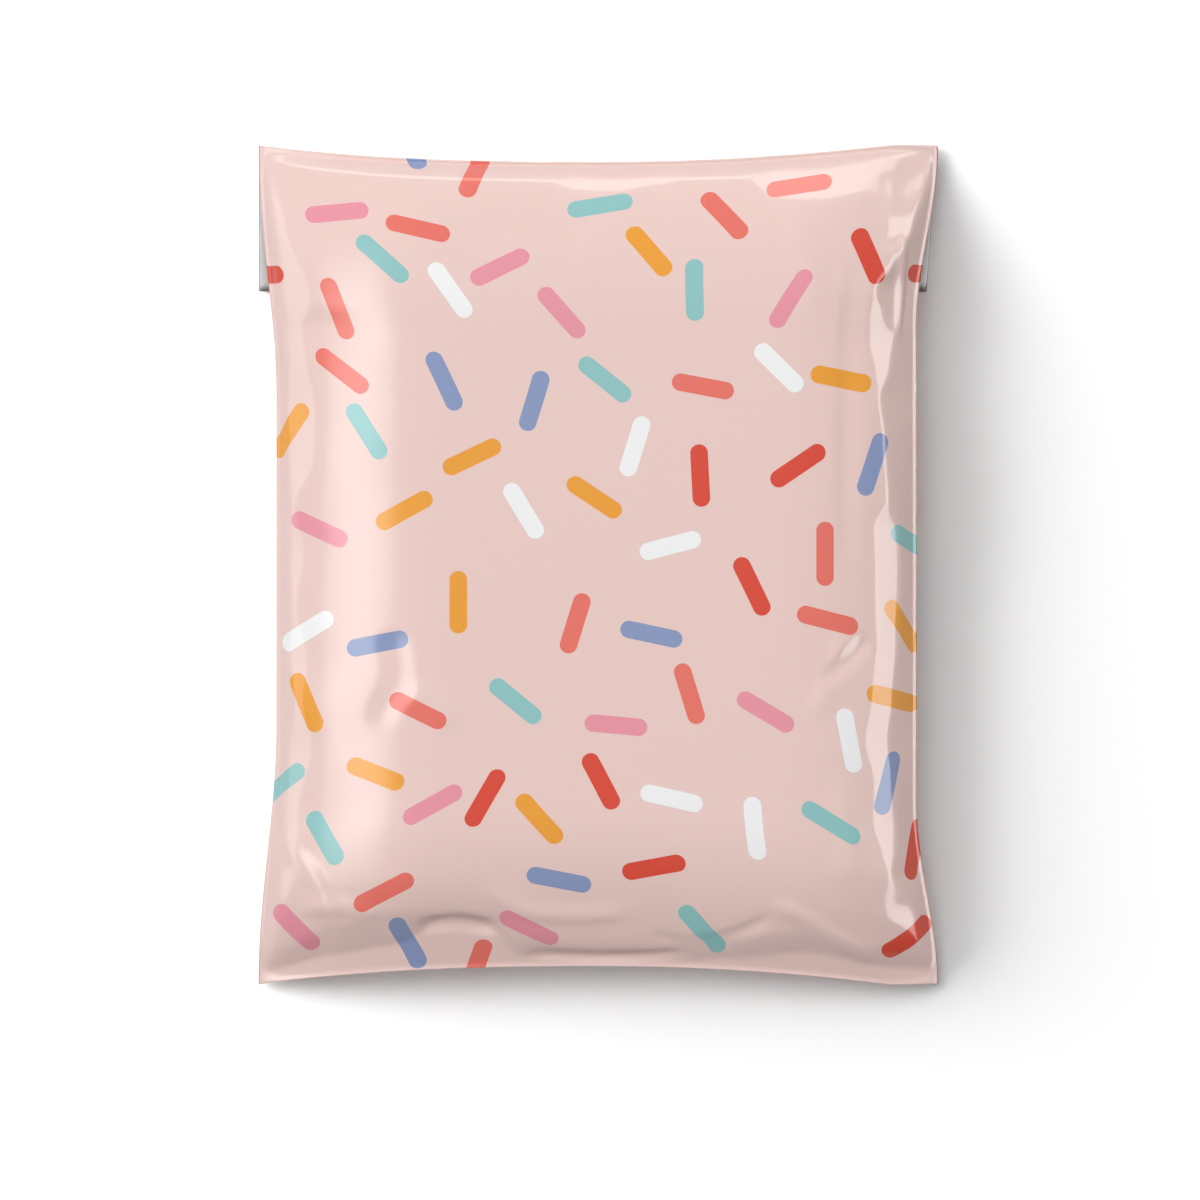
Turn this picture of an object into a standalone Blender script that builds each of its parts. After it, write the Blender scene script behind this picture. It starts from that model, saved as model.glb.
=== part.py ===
"""A filled poly mailer bag lying on its back: one folded and welded film, sealed with its soft contents inside.

Units are metres. +Z is up, +Y points to the folded mouth, and the origin is under the middle of the bag on the floor.
The film is folded at the foot, welded along both sides and folded over at the mouth. The flap that goes over
the mouth lies against the back, glued there, and its two ends reach past the drawn-in sides.
"""

import bmesh
import bpy

# Driving dimensions of the filled bag, corner to corner, and of its film.
WIDTH = 0.254
LENGTH = 0.3126
FLAP_LENGTH = 0.054
THICKNESS = 0.038
FILM = 0.00006
WELD_WIDTH = 0.0022

# How far the filling draws the four edges in at their middles, and how high it lifts them.
SIDE_DRAW = 0.0072
END_DRAW = 0.0064
SIDE_LIFT = 0.0125
END_LIFT = 0.0085
CORNER_LIFT = 0.0022

# The roundness of the filling: FLATNESS sets how far the flat top reaches, FULLNESS how steep the shoulders are.
FLATNESS = 4.0
FULLNESS = 0.46

# How far in from an edge the back curves down to the floor, and how soon the looser flap does.
SIDE_CURVE = 0.026
END_CURVE = 0.028
FLAP_CURVE = 0.017

CELLS_ACROSS = 28
CELLS_ALONG = 34
FLAP_CELLS_ACROSS = 30
FLAP_CELLS_ALONG = 14
FLAP_BITE = 0.5 * FILM
FOLD_ROOT = 0.0012
FOLD_REACH = 0.0004

FILM_COLOUR = (0.80, 0.60, 0.57, 1.0)
FILM_ROUGHNESS = 0.22


def clear_scene():
    for obj in list(bpy.data.objects):
        bpy.data.objects.remove(obj)


def smooth_step(value):
    value = min(max(value, 0.0), 1.0)
    return value * value * (3.0 - 2.0 * value)


def eased(share):
    """A step from -1 to 1 that takes shorter steps near both ends, where the bag curves most."""
    return 0.45 * share + 0.55 * (1.5 * share - 0.5 * share**3)


def half_width(t):
    """Half the bag's width at t, from -1 at the foot to 1 at the mouth."""
    return WIDTH / 2 - SIDE_DRAW * smooth_step((1.0 - abs(t)) / 0.65)


def half_length(s):
    """Half the bag's length at s, from -1 at the left side to 1 at the right."""
    return LENGTH / 2 - END_DRAW * smooth_step((1.0 - abs(s)) / 0.8)


def weld_share(t):
    """The value of s at the inner line of a side weld."""
    return 1.0 - WELD_WIDTH / half_width(t)


def filled_share(s, t):
    """How far the filling holds the two panels apart at (s, t), from 0 at the edges to 1 in the middle."""
    across = max(0.0, 1.0 - (abs(s) / weld_share(t)) ** FLATNESS)
    along = max(0.0, 1.0 - abs(t) ** FLATNESS)
    return (across * along) ** FULLNESS


def curve_down(inset, run):
    """1 at an edge and 0 from run inwards, tangent to the floor there."""
    return max(0.0, 1.0 - inset / run) ** 2


def side_rise(s, t):
    return SIDE_LIFT * curve_down((1.0 - abs(s)) * half_width(t), SIDE_CURVE) * (1.0 - t**4)


def end_rise(s, t, run):
    inset = (1.0 - abs(t)) * half_length(s)
    return (END_LIFT * (1.0 - s**4) + CORNER_LIFT) * curve_down(inset, run)


def back_height(s, t):
    """The outer face of the back panel, clear of the floor by half a film where the flap lies under it."""
    over_flap = t * half_length(s) > LENGTH / 2 - FLAP_LENGTH - LENGTH / CELLS_ALONG
    return side_rise(s, t) + end_rise(s, t, END_CURVE) + (FLAP_BITE if over_flap else 0.0)


def front_height(s, t):
    """The outer face of the front panel: two films thick at the edges, and the full thickness in the middle."""
    lowest = back_height(s, t)
    return lowest + 2 * FILM + (THICKNESS - lowest - 2 * FILM) * filled_share(s, t)


def panel(bm, height):
    """One panel of film as a grid, with a narrow column of faces for each side weld."""
    rows = []
    for j in range(CELLS_ALONG + 1):
        t = eased(2.0 * j / CELLS_ALONG - 1.0)
        weld = weld_share(t)
        across = [weld * eased(2.0 * i / CELLS_ACROSS - 1.0) for i in range(CELLS_ACROSS + 1)]
        across = [-1.0, *across, 1.0]
        rows.append([bm.verts.new((s * half_width(t), t * half_length(s), height(s, t))) for s in across])
    faces = []
    for near, far in zip(rows, rows[1:]):
        for i in range(len(near) - 1):
            faces.append(bm.faces.new((near[i], near[i + 1], far[i + 1], far[i])))
    return faces


def film_material():
    material = bpy.data.materials.new("printed_film")
    material.use_nodes = True
    surface = material.node_tree.nodes["Principled BSDF"]
    surface.inputs["Base Color"].default_value = FILM_COLOUR
    surface.inputs["Roughness"].default_value = FILM_ROUGHNESS
    surface.inputs["Metallic"].default_value = 0.0
    return material


def mesh_object(name, bm):
    mesh = bpy.data.meshes.new(name)
    bmesh.ops.recalc_face_normals(bm, faces=bm.faces)
    bm.to_mesh(mesh)
    bm.free()
    obj = bpy.data.objects.new(name, mesh)
    bpy.context.scene.collection.objects.link(obj)
    return obj


def filled_pouch():
    """The closed pouch: front and back panels joined along their rims by the two films' own thickness."""
    bm = bmesh.new()
    panel(bm, front_height)
    back = panel(bm, back_height)
    bmesh.ops.reverse_faces(bm, faces=back)
    rim = [edge for edge in bm.edges if edge.is_boundary]
    bmesh.ops.bridge_loops(bm, edges=rim)
    return mesh_object("mailer_bag", bm)


def flap_section(s):
    """The flap's line at s, as (y, z): out of the mouth's edge, round the fold and back under the bag to its free end."""
    mouth = half_length(s)
    rim_height = back_height(s, 1.0) + FILM
    fold = [
        (mouth - FOLD_ROOT, rim_height + FILM / 4),
        (mouth + FOLD_REACH / 2, rim_height),
        (mouth + FOLD_REACH, rim_height - FOLD_REACH / 2),
        (mouth + FOLD_REACH / 2, rim_height - FOLD_REACH),
    ]
    under = []
    for j in range(1, FLAP_CELLS_ALONG + 1):
        inset = (FLAP_LENGTH - LENGTH / 2 + mouth) * (j / FLAP_CELLS_ALONG) ** 1.3
        drop = (rim_height - FOLD_REACH) * curve_down(inset, FLAP_CURVE)
        under.append((mouth - inset, max(drop, FILM / 2)))
    return fold + under


def flap():
    """The closing flap as one thin sheet, cut straight and as wide as the flat bag."""
    bm = bmesh.new()
    columns = []
    for i in range(FLAP_CELLS_ACROSS + 1):
        s = 2.0 * i / FLAP_CELLS_ACROSS - 1.0
        columns.append([bm.verts.new((s * WIDTH / 2, y, z)) for y, z in flap_section(s)])
    for left, right in zip(columns, columns[1:]):
        for j in range(len(left) - 1):
            bm.faces.new((left[j], right[j], right[j + 1], left[j + 1]))
    sheet = mesh_object("flap_sheet", bm)
    solidify = sheet.modifiers.new("film", "SOLIDIFY")
    solidify.thickness = FILM
    solidify.offset = 0.0
    sheet.hide_render = True
    sheet.display_type = "WIRE"
    return sheet


def main():
    clear_scene()
    bag = filled_pouch()
    bag.data.materials.append(film_material())
    bag.data.shade_smooth()
    closing_flap = flap()
    joined = bag.modifiers.new("closing_flap", "BOOLEAN")
    joined.operation = "UNION"
    joined.object = closing_flap
    # The fold reaches past the mouth, so the bag moves back by half of that to stay centred on the origin.
    for obj in (bag, closing_flap):
        obj.location.y = -FOLD_REACH / 2


main()
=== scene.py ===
"""A filled poly mailer bag on a white studio floor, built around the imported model."""

import math

import bpy
import numpy as np
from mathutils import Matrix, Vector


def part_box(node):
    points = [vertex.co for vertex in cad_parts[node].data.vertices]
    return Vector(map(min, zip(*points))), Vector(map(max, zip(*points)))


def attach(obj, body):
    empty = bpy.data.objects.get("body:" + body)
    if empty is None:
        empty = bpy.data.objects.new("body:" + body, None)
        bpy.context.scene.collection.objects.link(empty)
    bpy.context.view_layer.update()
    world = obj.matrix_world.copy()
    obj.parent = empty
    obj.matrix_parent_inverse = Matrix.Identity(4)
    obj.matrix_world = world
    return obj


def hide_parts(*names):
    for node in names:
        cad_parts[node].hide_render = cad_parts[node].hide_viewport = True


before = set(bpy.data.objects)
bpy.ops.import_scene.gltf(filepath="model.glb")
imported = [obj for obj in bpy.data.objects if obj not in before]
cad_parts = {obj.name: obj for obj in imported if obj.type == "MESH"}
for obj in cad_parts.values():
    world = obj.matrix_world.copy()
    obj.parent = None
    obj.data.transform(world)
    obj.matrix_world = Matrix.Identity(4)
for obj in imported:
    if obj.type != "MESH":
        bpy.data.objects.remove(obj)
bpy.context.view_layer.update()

MM = 0.001


# The film: one web of polyethylene, printed outside and grey inside. It is folded at the foot, welded
# along both sides, filled, and folded over at the mouth, where the flap is glued to the back. Here the
# web starts as a flat grid, and each of its points is carried to where the filled bag holds it.
low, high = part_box("mailer_bag")
HALF_WIDE = (high[0] - low[0]) / 2 / MM
HALF_LONG = (high[1] - low[1]) / 2 / MM
THICK = high[2] / MM
FLAP_LONG = 54.0
WELD = 1.5
FOLD_RADIUS = 0.5
FILM = 0.1
COLUMNS = 168
ROWS = 188
FLAP_ROWS = 18


def smooth(share):
    share = np.clip(share, 0.0, 1.0)
    return share * share * (3.0 - 2.0 * share)


def eased(count):
    """Stations from -1 to 1 that lie closer together near both ends, where the film bends most."""
    share = np.linspace(-1.0, 1.0, count)
    return 0.5 * share + 0.5 * (1.5 * share - 0.5 * share**3)


def stations(count, half, rim):
    """Eased stations from -1 to 1 that keep the insets of rim, in millimetres, as stations of their own."""
    edge = np.array([1.0 - inset / half for inset in rim])
    return np.concatenate([-edge, edge[-1] * eased(count - 2 * len(rim) + 3)[1:-1], edge[::-1]])


# How far the filling draws each edge in, and how high it lifts the edges, at their middles and at the
# corners.
DRAWN_LEFT = 7.2
DRAWN_RIGHT = 8.4
DRAWN_MOUTH = 6.9
DRAWN_FOOT = 7.3
CORNER_LIFT = 1.6
SIDE_LIFT = 14.0
END_LIFT = 13.6
CROWN_DROP = 1.6
SHOULDER_WIDE = 62.0

across = stations(COLUMNS, HALF_WIDE, (0.0, 0.7, WELD))
along = stations(ROWS, HALF_LONG, (0.0, 0.15, 0.5, 1.4))


def left_side(t):
    run = np.where(t > 0, 0.60, 0.62)
    return -HALF_WIDE + DRAWN_LEFT * smooth((1.0 - np.abs(t)) / run)


def right_side(t):
    return HALF_WIDE - DRAWN_RIGHT * smooth((1.0 - np.abs(t)) / 0.43)


def end_draw(s, left_power, right_reach):
    """How far an end is drawn in, from 0 at its corners to 1 in the middle."""
    left = 1.0 - np.abs(s) ** left_power
    right = 1.0 - np.minimum(np.abs(s) / right_reach, 1.0) ** 2.1
    return np.where(s < 0, left, right)


def mouth(s):
    return HALF_LONG - DRAWN_MOUTH * end_draw(s, 2.7, 0.87)


def foot(s):
    return -HALF_LONG + DRAWN_FOOT * end_draw(s, 2.6, 0.86)


def smooth_interp(place, marks, values):
    """Values at rising marks, joined by smooth steps."""
    after = int(np.clip(np.searchsorted(marks, place), 1, len(marks) - 1))
    share = smooth((place - marks[after - 1]) / (marks[after] - marks[after - 1]))
    return values[after - 1] + share * (values[after] - values[after - 1])


def shoulder(inset, place, lines, slopes, wander):
    """How the film rises from an edge, from 0 there to 1 on the flat top, for each row of inset.

    lines lists (place, first line's inset, second line's inset): two lines that wander beside the edge.
    With wander 0 they run straight, at their mean insets. slopes lists (start, line, degrees): the slope
    that the film has at start millimetres past line 1 or 2, or past the edge itself, which is line 0.
    """
    marks, first, second = np.array(lines, float).T
    fine = np.linspace(0.0, SHOULDER_WIDE, 500)
    rise = np.empty_like(inset)
    for row, here in enumerate(place):
        at = [0.0]
        for values in (first, second):
            at.append(values.mean() + wander * (smooth_interp(here, marks, values) - values.mean()))
        insets = np.maximum.accumulate([at[line] + start for start, line, _ in slopes])
        climb = np.tan(np.radians(np.interp(fine, insets, [degrees for _, _, degrees in slopes])))
        total = np.concatenate([[0.0], np.cumsum((climb[1:] + climb[:-1]) / 2.0)])
        rise[row] = np.interp(inset[row], fine, total / total[-1])
    return rise


def curve_down(inset, run):
    return np.clip(1.0 - inset / run, 0.0, 1.0) ** 2


def side_lift(t):
    return CORNER_LIFT + (SIDE_LIFT - CORNER_LIFT) * (1.0 - t**4)


def end_lift(s):
    return CORNER_LIFT + (END_LIFT - CORNER_LIFT) * (1.0 - s**4)


# Folds that the filling and the welds have left in the front panel. Each is a line of points in
# millimetres from the bag's middle, with its half width on either side of the line, and its height, which
# is negative for a groove.
folds = [
    # soft dents of the filling under the film
    ([(-78, -22), (-74, -40), (-84, -62)], 9.0, 7.0, -0.7),
    ([(-70, -44), (-60, -50), (-52, -62)], 6.0, 9.0, 0.6),
    ([(92, -22), (86, -42), (78, -58)], 8.0, 6.0, 0.7),
    ([(95, 118), (92, 80), (91, 30), (92, -12)], 8.0, 5.0, -0.8),
    ([(70, 128), (78, 112), (80, 90)], 8.0, 8.0, 0.5),
    ([(86, -80), (94, -100), (90, -120)], 8.0, 8.0, 0.6),
    ([(-60, 118), (-30, 124), (10, 122)], 10.0, 12.0, -0.5),
    ([(-118, -100), (-104, -118), (-96, -136)], 5.0, 7.0, 0.8),
    # the right shoulder
    ([(113, 124), (112, 102), (110.5, 82)], 2.0, 2.6, 1.4),
    ([(101, -26), (92, -34), (82, -44)], 6.0, 4.0, -1.4),
    # the foot
    ([(-68, -135), (-52, -133), (-36, -136)], 5.5, 2.6, -2.8),
    ([(-30, -144.5), (-8, -146), (16, -146), (38, -144.5)], 4.5, 1.5, -2.0),
    ([(16, -136), (34, -140), (52, -136), (66, -128)], 3.5, 5.0, -1.1),
    ([(62, -124), (76, -130), (92, -140), (108, -147)], 4.0, 6.0, 1.1),
    ([(-44, -118), (-28, -128), (-6, -130), (16, -128)], 6.0, 4.0, 0.9),
    ([(-112, -128), (-96, -127), (-80, -130)], 6.0, 4.0, 0.8),
]


def smooth_line(points, steps=10):
    """A curve through the points, as a list of short steps."""
    p = np.array(points, float)
    p = np.vstack([2 * p[0] - p[1], p, 2 * p[-1] - p[-2]])
    share = np.linspace(0.0, 1.0, steps, endpoint=False)[:, None]
    parts = []
    for a, b, c, d in zip(p, p[1:], p[2:], p[3:]):
        bend = (2 * a - 5 * b + 4 * c - d) * share**2 + (3 * b - a - 3 * c + d) * share**3
        parts.append(b + 0.5 * ((c - a) * share + bend))
    return np.vstack([*parts, p[-2:-1]])


def fold_height(x, y, points, left_width, right_width, height):
    """How far one fold raises the film: fully along its line, less to either side and towards its ends."""
    line = smooth_line(points)
    nearest = np.full(x.shape, 1e9)
    side = np.zeros(x.shape)
    place = np.zeros(x.shape)
    count = len(line) - 1
    for k, (start, end) in enumerate(zip(line, line[1:])):
        dx, dy = end - start
        share = np.clip(((x - start[0]) * dx + (y - start[1]) * dy) / (dx * dx + dy * dy), 0.0, 1.0)
        off_x, off_y = x - start[0] - share * dx, y - start[1] - share * dy
        gap = np.hypot(off_x, off_y)
        nearer = gap < nearest
        nearest = np.where(nearer, gap, nearest)
        side = np.where(nearer, dx * off_y - dy * off_x, side)
        place = np.where(nearer, (k + share) / count, place)
    width = np.where(side > 0, left_width, right_width)
    taper = smooth(np.minimum(place, 1.0 - place) / 0.22)
    return height * taper * (1.0 - smooth(nearest / width))


# Where the facets of the four shoulders begin and end: (place along the edge, first line, second line).
left_lines = [
    (-150, 4, 6), (-125, 5, 9), (-105, 4, 10), (-90, 3, 8), (-70, 3, 12), (-50, 5, 9), (-35, 3, 10),
    (-15, 4, 6), (5, 3, 9), (22, 4, 5), (40, 3, 13), (60, 2, 13), (75, 3, 10), (90, 2, 8), (100, 3, 14),
    (125, 3, 7), (150, 3, 5),
]
right_lines = [
    (-150, 2, 3), (-138, 5, 6), (-128, 5, 14), (-114, 11, 12), (-106, 8, 13), (-96, 7, 15), (-80, 8, 15),
    (-65, 10, 19), (-50, 8, 16), (-28, 6, 14), (2, 5, 14), (14, 6, 15), (24, 9.5, 10), (47, 11, 11.2),
    (62, 13, 13.2), (72, 9, 14.5), (84, 7.5, 17), (93, 12, 17.4), (102, 15.5, 15.7), (112, 10, 10.4),
    (124, 5, 5.6), (150, 1.5, 2.2),
]
foot_lines = [
    (-120, 4, 11), (-100, 7, 17), (-78, 9, 21), (-62, 14, 20), (-40, 14, 18), (-27, 3, 9), (-8, 1.4, 7),
    (25, 1.4, 7), (50, 4, 11), (80, 8, 15), (105, 6, 12), (120, 5, 10),
]
mouth_lines = [
    (-120, 5, 5), (-60, 5, 5), (-20, 5, 5), (-8, 4, 9), (6, 5, 10), (22, 4, 7), (34, 5, 5), (55, 5, 6),
    (66, 4, 15), (85, 5, 17), (98, 4, 15), (106, 3, 8), (116, 2, 7), (125, 2, 5),
]


def panel_place(s, t):
    """Where a point of either panel lies, seen from above."""
    x = left_side(t) + (s + 1.0) / 2.0 * (right_side(t) - left_side(t))
    y = foot(s) + (t + 1.0) / 2.0 * (mouth(s) - foot(s))
    return x, y


def front_panel(s, t, wander):
    """The front panel without its folds. wander, 0 to 1, is how far its shoulders stray along the edges."""
    x, y = panel_place(s, t)
    up, out = along * HALF_LONG, across * HALF_WIDE
    full = shoulder(x - left_side(t) - WELD, up, left_lines, [
        (0, 0, 64), (-0.6, 1, 62), (0.6, 1, 38), (-0.6, 2, 34), (0.8, 2, 26), (20, 0, 18), (40, 0, 12),
        (62, 0, 0),
    ], wander)
    full = full * shoulder(right_side(t) - x - WELD, up, right_lines, [
        (0, 0, 61), (-0.4, 1, 58), (0.5, 1, 38), (-0.4, 2, 34), (0.5, 2, 23), (30, 0, 9), (52, 0, 0),
    ], wander)
    full = full * shoulder((y - foot(s) - 1.0).T, out, foot_lines, [
        (0, 0, 10), (1.2, 0, 33), (-0.8, 1, 33), (0.8, 1, 58), (-1.4, 2, 54), (2.5, 2, 33), (36, 0, 13),
        (56, 0, 0),
    ], wander).T
    full = full * shoulder((mouth(s) - y - 1.0).T, out, mouth_lines, [
        (0, 0, 60), (-1.4, 1, 60), (0.8, 1, 41), (-0.6, 2, 38), (1.2, 2, 31), (24, 0, 22), (40, 0, 8),
        (58, 0, 0),
    ], wander).T
    near_side = 1.0 / (np.minimum(x - left_side(t), right_side(t) - x) + 0.01) ** 2
    near_end = 1.0 / (np.minimum(y - foot(s), mouth(s) - y) + 0.01) ** 2
    edge = (side_lift(t) * near_side + end_lift(s) * near_end) / (near_side + near_end)
    crown = THICK - CROWN_DROP * ((x / HALF_WIDE) ** 2 + (y / HALF_LONG) ** 2)
    return x, y, edge + (crown - edge) * full


def back_panel(s, t):
    """The back panel: flat where the bag rests, over the flap as well, and lifted near its edges."""
    x, y = panel_place(s, t)
    side = np.minimum(x - left_side(t), right_side(t) - x)
    end = np.minimum(y - foot(s), mouth(s) - y)
    over_flap = smooth((t * HALF_LONG - HALF_LONG + FLAP_LONG + 6.0) / 5.0)
    rise = (side_lift(t) - CORNER_LIFT) * curve_down(side, 26.0) + end_lift(s) * curve_down(end, 28.0)
    return x, y, rise + 0.35 + 0.25 * over_flap


# The print's own sheet, measured along a panel that rises PRINT_RISE as high as the film does.
PRINT_RISE = 0.5
PRINT_WIDE = 243.0
PRINT_LONG = 307.0
PRINT_MIDDLE = 0.503

s, t = np.meshgrid(across, along)
front_x, front_y, front_z = front_panel(s, t, wander=1.0)
even = np.stack(front_panel(s, t, wander=0.0), axis=-1)
back_x, back_y, back_z = back_panel(s, t)

# The two panels meet at every edge: fused flat in the side welds, and a fold's width apart at foot and
# mouth.
side_inset = np.minimum(front_x - left_side(t), right_side(t) - front_x)
end_inset = np.minimum(front_y - foot(s), mouth(s) - front_y)
in_fold = 1.0 - np.clip((front_y - foot(s)) / FOLD_RADIUS, 0.0, 1.0)
apart = FOLD_RADIUS * np.sqrt(1.0 - in_fold**2) * np.clip(side_inset / WELD, 0.0, 1.0)
front_z = np.maximum(front_z, back_z) + apart
back_z = back_z - apart * (1.0 - np.clip(end_inset / 6.0, 0.0, 1.0))

loose = np.clip(side_inset / 6.0, 0.0, 1.0) * np.clip(end_inset / 3.0, 0.0, 1.0)
slope_y, slope_x = np.gradient(front_z)
span_x = np.gradient(front_x, axis=1)
span_y = np.gradient(front_y, axis=0)
normal = np.stack([-slope_x / span_x, -slope_y / span_y, np.ones_like(front_z)], axis=-1)
normal /= np.linalg.norm(normal, axis=-1, keepdims=True)
raised = sum(fold_height(front_x, front_y, *fold) for fold in folds) * loose
front = np.stack([front_x, front_y, front_z], axis=-1)
even *= (1.0, 1.0, PRINT_RISE)
flat_u = np.cumsum(np.linalg.norm(np.diff(even, axis=1, prepend=even[:, :1]), axis=-1), axis=1)
flat_v = np.cumsum(np.linalg.norm(np.diff(even, axis=0, prepend=even[:1]), axis=-1), axis=0)
flat_u = (flat_u / flat_u[:, -1:] - PRINT_MIDDLE) * PRINT_WIDE
flat_v = (flat_v / flat_v[-1:] - 0.5) * PRINT_LONG
front = front + normal * raised[..., None]
back = np.stack([back_x, back_y, back_z], axis=-1)

# The flap goes round the mouth's fold and lies under the back, as wide as the flat web. Its ends curl up
# a little.
reach = np.concatenate([[0.0], np.linspace(0.0, 1.0, FLAP_ROWS + 1)[1:] ** 1.2]) * FLAP_LONG
flap_s, flap_q = np.meshgrid(across, reach)
flap_x = flap_s * HALF_WIDE - (0.3 + 4.0 * flap_q / FLAP_LONG) * smooth((flap_s - 0.9) / 0.1)
flap_y = mouth(flap_s) - flap_q * (1.0 - (HALF_LONG - mouth(flap_s)) / FLAP_LONG)
curl_high = np.where(flap_s > 0, 0.26, 1.3)
curl = curl_high * smooth((np.abs(flap_s) - 0.90) / 0.10) * smooth(flap_q / 20.0)
flap_z = (end_lift(flap_s) - 0.5) * curve_down(flap_q, 17.0) + curl
flap_z[0] = end_lift(across) - FOLD_RADIUS
flap_y[0] = mouth(across) + 0.2
outer = np.stack([flap_x, flap_y, np.maximum(flap_z, 0.02)], axis=-1)
rim = outer[:1] + np.array([0.0, 0.35, FOLD_RADIUS])
outer = np.concatenate([rim, outer])
inner = outer + np.array([0.0, 0.0, FILM]) * np.clip((HALF_WIDE - np.abs(outer[..., :1])) / 2.0, 0.0, 1.0)
inner[0] = outer[0] - np.array([0.0, 0.6, 0.0])
inner[1] = outer[1] + np.array([0.0, -0.5, 0.3])
for end in (0, -1):
    inner[:, end] = outer[:, end]
    middle = (front[:, end] + back[:, end]) / 2.0
    front[:, end] = middle
    back[:, end] = middle
back[0] = front[0]

web = np.concatenate([back[::-1], front[1:], outer, inner[-2::-1], back[-1:]])
flat = np.zeros(web.shape[:2] + (2,))
flat[..., 0] = across * PRINT_WIDE / 2
row_v = np.concatenate([
    -PRINT_LONG - flat_v[::-1].mean(axis=1), flat_v[1:].mean(axis=1), PRINT_LONG / 2 + np.r_[0.0, reach],
    PRINT_LONG / 2 + np.r_[0.0, reach][-2::-1], [PRINT_LONG / 2],
])
flat[..., 1] = row_v[:, None]
first = len(along)
flat[first : first + len(along) - 1, :, 0] = flat_u[1:]
flat[first : first + len(along) - 1, :, 1] = flat_v[1:]

bpy.ops.object.select_all(action="DESELECT")
rows, columns = web.shape[:2]
bpy.ops.mesh.primitive_grid_add(x_subdivisions=columns - 1, y_subdivisions=rows - 1, size=2.0)
film_bag = bpy.context.object
film_bag.name = film_bag.data.name = "film_bag"
mesh = film_bag.data
grid = np.empty(len(mesh.vertices) * 3)
mesh.vertices.foreach_get("co", grid)
grid = grid.reshape(-1, 3)
column_of = np.rint((grid[:, 0] + 1.0) / 2.0 * (columns - 1)).astype(int)
row_of = np.rint((grid[:, 1] + 1.0) / 2.0 * (rows - 1)).astype(int)
mesh.vertices.foreach_set("co", (web[row_of, column_of] * MM).ravel())
corner = np.empty(len(mesh.loops), np.int32)
mesh.loops.foreach_get("vertex_index", corner)
film_uv = mesh.uv_layers.active or mesh.uv_layers.new()
film_uv.name = "flat_film"
film_uv.data.foreach_set("uv", (flat[row_of, column_of][corner] * MM).ravel())
inside_from = len(along) * 2 - 1 + len(outer) - 1
grey = np.array([min(row_of[v] for v in face.vertices) >= inside_from for face in mesh.polygons])
mesh.polygons.foreach_set("material_index", grey.astype(np.int32))
mesh.update()

bpy.ops.object.mode_set(mode="EDIT")
bpy.ops.mesh.select_all(action="SELECT")
bpy.ops.mesh.remove_doubles(threshold=0.00001)
bpy.ops.mesh.normals_make_consistent(inside=False)
bpy.ops.object.mode_set(mode="OBJECT")
bpy.ops.object.shade_smooth()


# The print: short round-ended bars in seven inks, scattered over a pink ground. The same sheet of bars
# repeats along and across the web, so it also covers the flap and the back. Each bar is (across, along,
# turn) on the flat film, in millimetres and degrees.
BAR_LONG = 16.7
BAR_WIDE = 6.5
REPEAT_ACROSS = 252.0
REPEAT_ALONG = 302.0
GROUND = (0.70, 0.515, 0.478, 1.0)
inks = {
    "deep_red": (0.60, 0.066, 0.040, 1.0),
    "coral": (0.69, 0.155, 0.122, 1.0),
    "mustard": (0.72, 0.305, 0.040, 1.0),
    "teal": (0.237, 0.47, 0.465, 1.0),
    "blue": (0.218, 0.274, 0.449, 1.0),
    "pink": (0.69, 0.262, 0.325, 1.0),
    "white": (0.76, 0.76, 0.765, 1.0),
}
bars = {
    "deep_red": [
        (97, 111, -61), (37, 33, -87), (73, 36, 33), (56, -8, -64), (1, -81, -61), (-41, -87, 63),
        (20, -113, 12), (110, -135, 32), (118, -103, 67), (-126, 106, 0),
    ],
    "coral": [
        (70, 140, 5), (-64, 125, -12), (44, 130, -49), (-95, 94, -73), (-95, 71, -37), (38, 66, -12),
        (83, 4, 90), (-9, -22, 73), (84, -20, -13), (33, -48, -73), (-67, -54, -27), (-76, -121, 27),
        (-44, -153, 72),
    ],
    "mustard": [
        (18, 117, -50), (89, 67, -13), (-116, 49, 54), (-47, 40, 26), (-72, 20, 29), (-2, 25, -34),
        (-52, -14, 90), (114, -22, -50), (-109, -50, -66), (110, -48, -14), (-82, -77, -22),
        (-21, -95, -48),
    ],
    "teal": [
        (0, 135, 10), (-77, 113, -43), (35, 102, -86), (2, 69, -40), (-86, 49, -57), (-31, -51, -40),
        (85, -93, -29), (-99, -100, -57), (36, -137, -52), (119, 8, -24), (-119, -80, 35),
    ],
    "blue": [
        (-68, -142, -67), (-57, 68, -66), (-24, 61, 73), (101, 36, 71), (-82, -29, 10), (19, -26, -12),
        (107, -78, 74), (-14, -118, -12),
    ],
    "pink": [
        (-93, 130, 8), (-35, 111, 28), (70, 97, 60), (-13, 94, -50), (-104, 13, -24), (6, -60, -5),
        (61, -54, -29), (-60, -89, 29), (-108, -133, -48), (-25, -137, -31),
    ],
    "white": [
        (-53, 102, -57), (66, 72, -46), (13, 44, 73), (-28, 20, -59), (26, 7, 15), (-109, -24, 29),
        (92, -63, -79), (27, -87, -12), (57, -97, -87), (125, 72, 78),
    ],
}


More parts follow.
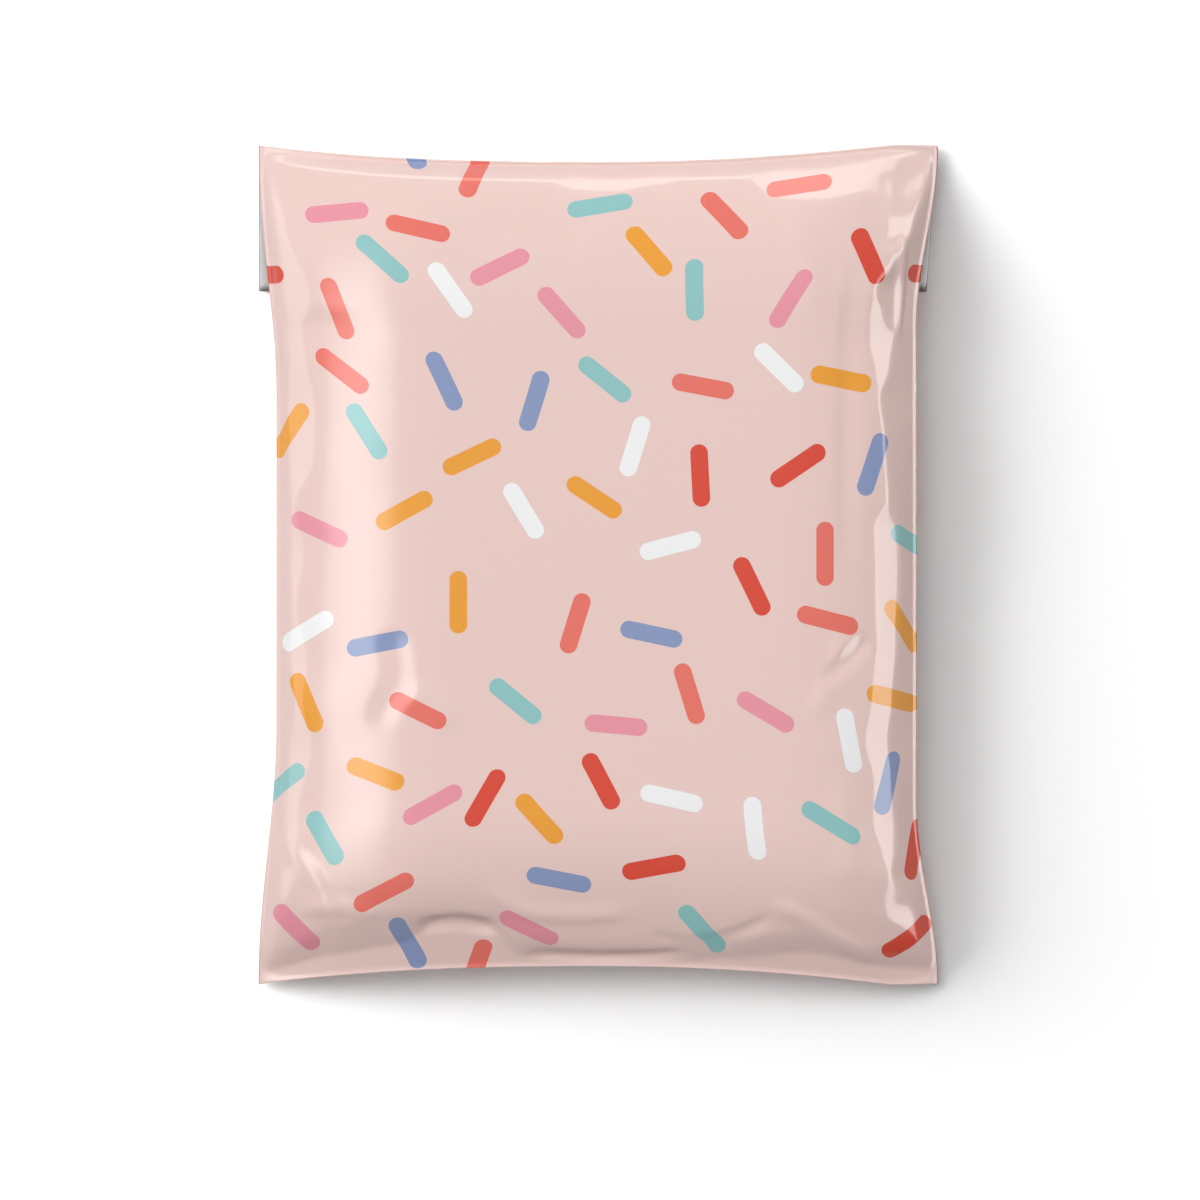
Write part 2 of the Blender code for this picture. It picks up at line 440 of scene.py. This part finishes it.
def bar_group():
    """One round-ended bar on the film.

    The film's position comes in with the ink that already lies there as its Z, from 0 to 1, and goes out
    with this bar's ink added, so that the bars of one colour form a chain.
    """
    group = bpy.data.node_groups.new("printed_bar", "ShaderNodeTree")
    for name in ("Film", "Middle", "Turn"):
        group.interface.new_socket(name, in_out="INPUT", socket_type="NodeSocketVector")
    group.interface.new_socket("Film", in_out="OUTPUT", socket_type="NodeSocketVector")
    nodes, links = group.nodes, group.links
    given, result = nodes.new("NodeGroupInput"), nodes.new("NodeGroupOutput")
    placed = nodes.new("ShaderNodeMapping")
    placed.vector_type = "TEXTURE"
    links.new(given.outputs["Film"], placed.inputs["Vector"])
    links.new(given.outputs["Middle"], placed.inputs["Location"])
    links.new(given.outputs["Turn"], placed.inputs["Rotation"])
    last = placed.outputs["Vector"]
    steps = (
        ("ABSOLUTE", None), ("SUBTRACT", (BAR_LONG / 2 * MM, 0.0, 2.0)), ("MAXIMUM", (0.0, 0.0, 0.0)),
        ("LENGTH", None),
    )
    for operation, number in steps:
        step = nodes.new("ShaderNodeVectorMath")
        step.operation = operation
        links.new(last, step.inputs[0])
        if number:
            step.inputs[1].default_value = number
        last = step.outputs["Value" if operation == "LENGTH" else "Vector"]
    inked = nodes.new("ShaderNodeMath")
    inked.operation = "LESS_THAN"
    inked.inputs[1].default_value = BAR_WIDE / 2 * MM
    links.new(last, inked.inputs[0])
    ink = nodes.new("ShaderNodeCombineXYZ")
    ink.inputs["X"].default_value = -1.0
    ink.inputs["Y"].default_value = -1.0
    links.new(inked.outputs["Value"], ink.inputs["Z"])
    added = nodes.new("ShaderNodeVectorMath")
    added.operation = "MAXIMUM"
    links.new(given.outputs["Film"], added.inputs[0])
    links.new(ink.outputs["Vector"], added.inputs[1])
    links.new(added.outputs["Vector"], result.inputs["Film"])
    return group


film = bpy.data.materials.new("printed_film")
film.use_nodes = True
nodes, links = film.node_tree.nodes, film.node_tree.links
surface = nodes["Principled BSDF"]
film_place = nodes.new("ShaderNodeUVMap")
film_place.uv_map = "flat_film"
repeat = nodes.new("ShaderNodeVectorMath")
repeat.operation = "WRAP"
repeat.inputs[1].default_value = (REPEAT_ACROSS / 2 * MM, REPEAT_ALONG / 2 * MM, 1.0)
repeat.inputs[2].default_value = (-REPEAT_ACROSS / 2 * MM, -REPEAT_ALONG / 2 * MM, -1.0)
links.new(film_place.outputs["UV"], repeat.inputs[0])

printed_bar = bar_group()
reach_of_bar = (BAR_LONG + BAR_WIDE) / 2
position = repeat.outputs["Vector"]
colour = None
for ink, places in bars.items():
    bare = nodes.new("ShaderNodeVectorMath")
    bare.operation = "MULTIPLY"
    bare.inputs[1].default_value = (1.0, 1.0, 0.0)
    links.new(position, bare.inputs[0])
    position = bare.outputs["Vector"]
    for x, y, turn in places:
        copies = [
            (x + REPEAT_ACROSS * i, y + REPEAT_ALONG * j) for i in (-1, 0, 1) for j in (-1, 0, 1)
            if abs(x + REPEAT_ACROSS * i) < REPEAT_ACROSS / 2 + reach_of_bar
            and abs(y + REPEAT_ALONG * j) < REPEAT_ALONG / 2 + reach_of_bar
        ]
        for copy_x, copy_y in copies:
            bar = nodes.new("ShaderNodeGroup")
            bar.node_tree = printed_bar
            bar.inputs["Middle"].default_value = (copy_x * MM, copy_y * MM, 0.0)
            bar.inputs["Turn"].default_value = (0.0, 0.0, math.radians(turn))
            links.new(position, bar.inputs["Film"])
            position = bar.outputs["Film"]
    covered = nodes.new("ShaderNodeSeparateXYZ")
    links.new(position, covered.inputs["Vector"])
    over = nodes.new("ShaderNodeMix")
    over.data_type = "RGBA"
    over.inputs["A"].default_value = GROUND
    over.inputs["B"].default_value = inks[ink]
    links.new(covered.outputs["Z"], over.inputs["Factor"])
    if colour is not None:
        links.new(colour, over.inputs["A"])
    colour = over.outputs["Result"]
links.new(colour, surface.inputs["Base Color"])
surface.inputs["Roughness"].default_value = 0.30
surface.inputs["Specular IOR Level"].default_value = 0.07
surface.inputs["IOR"].default_value = 1.5
surface.inputs["Coat Weight"].default_value = 0.22
surface.inputs["Coat Roughness"].default_value = 0.035

inside = bpy.data.materials.new("grey_inner_side")
inside.use_nodes = True
surface = inside.node_tree.nodes["Principled BSDF"]
surface.inputs["Base Color"].default_value = (0.47, 0.48, 0.48, 1.0)
surface.inputs["Roughness"].default_value = 0.4

mesh.materials.append(film)
mesh.materials.append(inside)

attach(film_bag, "root")
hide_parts("mailer_bag")


# The studio: a white floor, a pale world that glows overhead and to the upper left, a weak key light, a
# low light that draws the long shadow on the floor alone, and one overhead for the bag alone. Four lights
# show only in the film's gloss: a soft band and a strip along the left shoulder, and a strip each at the
# right and at the mouth.
bpy.ops.object.select_all(action="DESELECT")
bpy.ops.mesh.primitive_plane_add(size=6.0, location=(0.0, 0.0, -0.0002))
floor = bpy.context.object
floor.name = "floor"
bpy.ops.object.transform_apply(location=True)
paper = bpy.data.materials.new("white_floor")
paper.use_nodes = True
surface = paper.node_tree.nodes["Principled BSDF"]
surface.inputs["Base Color"].default_value = (0.93, 0.93, 0.93, 1.0)
surface.inputs["Roughness"].default_value = 0.9
floor.data.materials.append(paper)


def softbox(name, turn, tilt, distance, width, length, radiance, soft_edge):
    """A rectangular light whose middle is tilt degrees from overhead, turned to turn degrees from +X.

    It fades over soft_edge, a share of its size, towards each of its sides.
    """
    data = bpy.data.lights.new(name, "AREA")
    data.shape = "RECTANGLE"
    data.size = width
    data.size_y = length
    data.energy = radiance * math.pi * width * length
    data.use_nodes = True
    nodes, links = data.node_tree.nodes, data.node_tree.links
    place = nodes.new("ShaderNodeNewGeometry")
    apart = nodes.new("ShaderNodeSeparateXYZ")
    links.new(place.outputs["Parametric"], apart.inputs["Vector"])
    fade = None
    for axis in ("X", "Y"):
        inset = nodes.new("ShaderNodeMath")
        inset.operation = "PINGPONG"
        inset.inputs[1].default_value = 0.5
        links.new(apart.outputs[axis], inset.inputs[0])
        edge = nodes.new("ShaderNodeMapRange")
        edge.interpolation_type = "SMOOTHSTEP"
        edge.inputs["From Max"].default_value = soft_edge
        links.new(inset.outputs["Value"], edge.inputs["Value"])
        if fade is not None:
            links.new(fade, edge.inputs["To Max"])
        fade = edge.outputs["Result"]
    links.new(fade, nodes["Emission"].inputs["Strength"])
    light = bpy.data.objects.new(name, data)
    bpy.context.scene.collection.objects.link(light)
    turn, tilt = math.radians(turn), math.radians(tilt)
    light.location = (
        distance * math.sin(tilt) * math.cos(turn),
        distance * math.sin(tilt) * math.sin(turn),
        distance * math.cos(tilt),
    )
    light.rotation_euler = (0.0, tilt, turn)
    return light


softbox("key_softbox", 140.0, 36.0, 3.2, 1.6, 3.2, 0.9, 0.3).visible_glossy = False
low_light = softbox("low_softbox", 152.0, 66.0, 3.6, 2.6, 3.6, 13.2, 0.25)
fill_light = softbox("fill_softbox", 105.0, 12.0, 3.2, 1.6, 2.6, 8.9, 0.3)
for light, lit in ((low_light, floor), (fill_light, film_bag)):
    light.visible_glossy = False
    light.light_linking.receiver_collection = bpy.data.collections.new(light.name + "_lights")
    light.light_linking.receiver_collection.objects.link(lit)
for name, turn, tilt, width, length, radiance, soft_edge in (
    ("left_band_light", 178.0, 36.0, 1.2, 3.2, 14.5, 0.5),
    ("left_strip_light", 172.0, 71.0, 0.9, 2.8, 5.6, 0.04),
    ("right_strip_light", 0.0, 69.0, 1.2, 4.0, 14.0, 0.03),
    ("mouth_strip_light", 84.0, 78.0, 0.8, 3.6, 9.6, 0.04),
):
    strip = softbox(name, turn, tilt, 2.6, width, length, radiance, soft_edge)
    strip.visible_diffuse = False

world = bpy.data.worlds.new("studio")
bpy.context.scene.world = world
world.use_nodes = True
nodes, links = world.node_tree.nodes, world.node_tree.links
nodes["Background"].inputs["Color"].default_value = (1.0, 1.0, 1.0, 1.0)
direction = nodes.new("ShaderNodeTexCoord")
toward = nodes.new("ShaderNodeVectorMath")
toward.operation = "DOT_PRODUCT"
toward.inputs[1].default_value = (-0.33, 0.42, 0.85)
links.new(direction.outputs["Generated"], toward.inputs[0])
glow = nodes.new("ShaderNodeMapRange")
glow.inputs["From Min"].default_value = 0.1
glow.inputs["From Max"].default_value = 1.0
glow.inputs["To Min"].default_value = 0.0
glow.inputs["To Max"].default_value = 1.0
links.new(toward.outputs["Value"], glow.inputs["Value"])
links.new(glow.outputs["Result"], nodes["Background"].inputs["Strength"])
bpy.context.scene.view_settings.view_transform = "Standard"


# The camera looks straight down on the bag through a long lens.
LENS = 200.0
SENSOR = 36.0
VIEW_WIDE = 0.449
camera_data = bpy.data.cameras.new("camera")
camera_data.lens = LENS
camera_data.sensor_width = SENSOR
camera = bpy.data.objects.new("camera", camera_data)
bpy.context.scene.collection.objects.link(camera)
camera.location = (0.0006, -0.0129, VIEW_WIDE * LENS / SENSOR)
bpy.context.scene.camera = camera
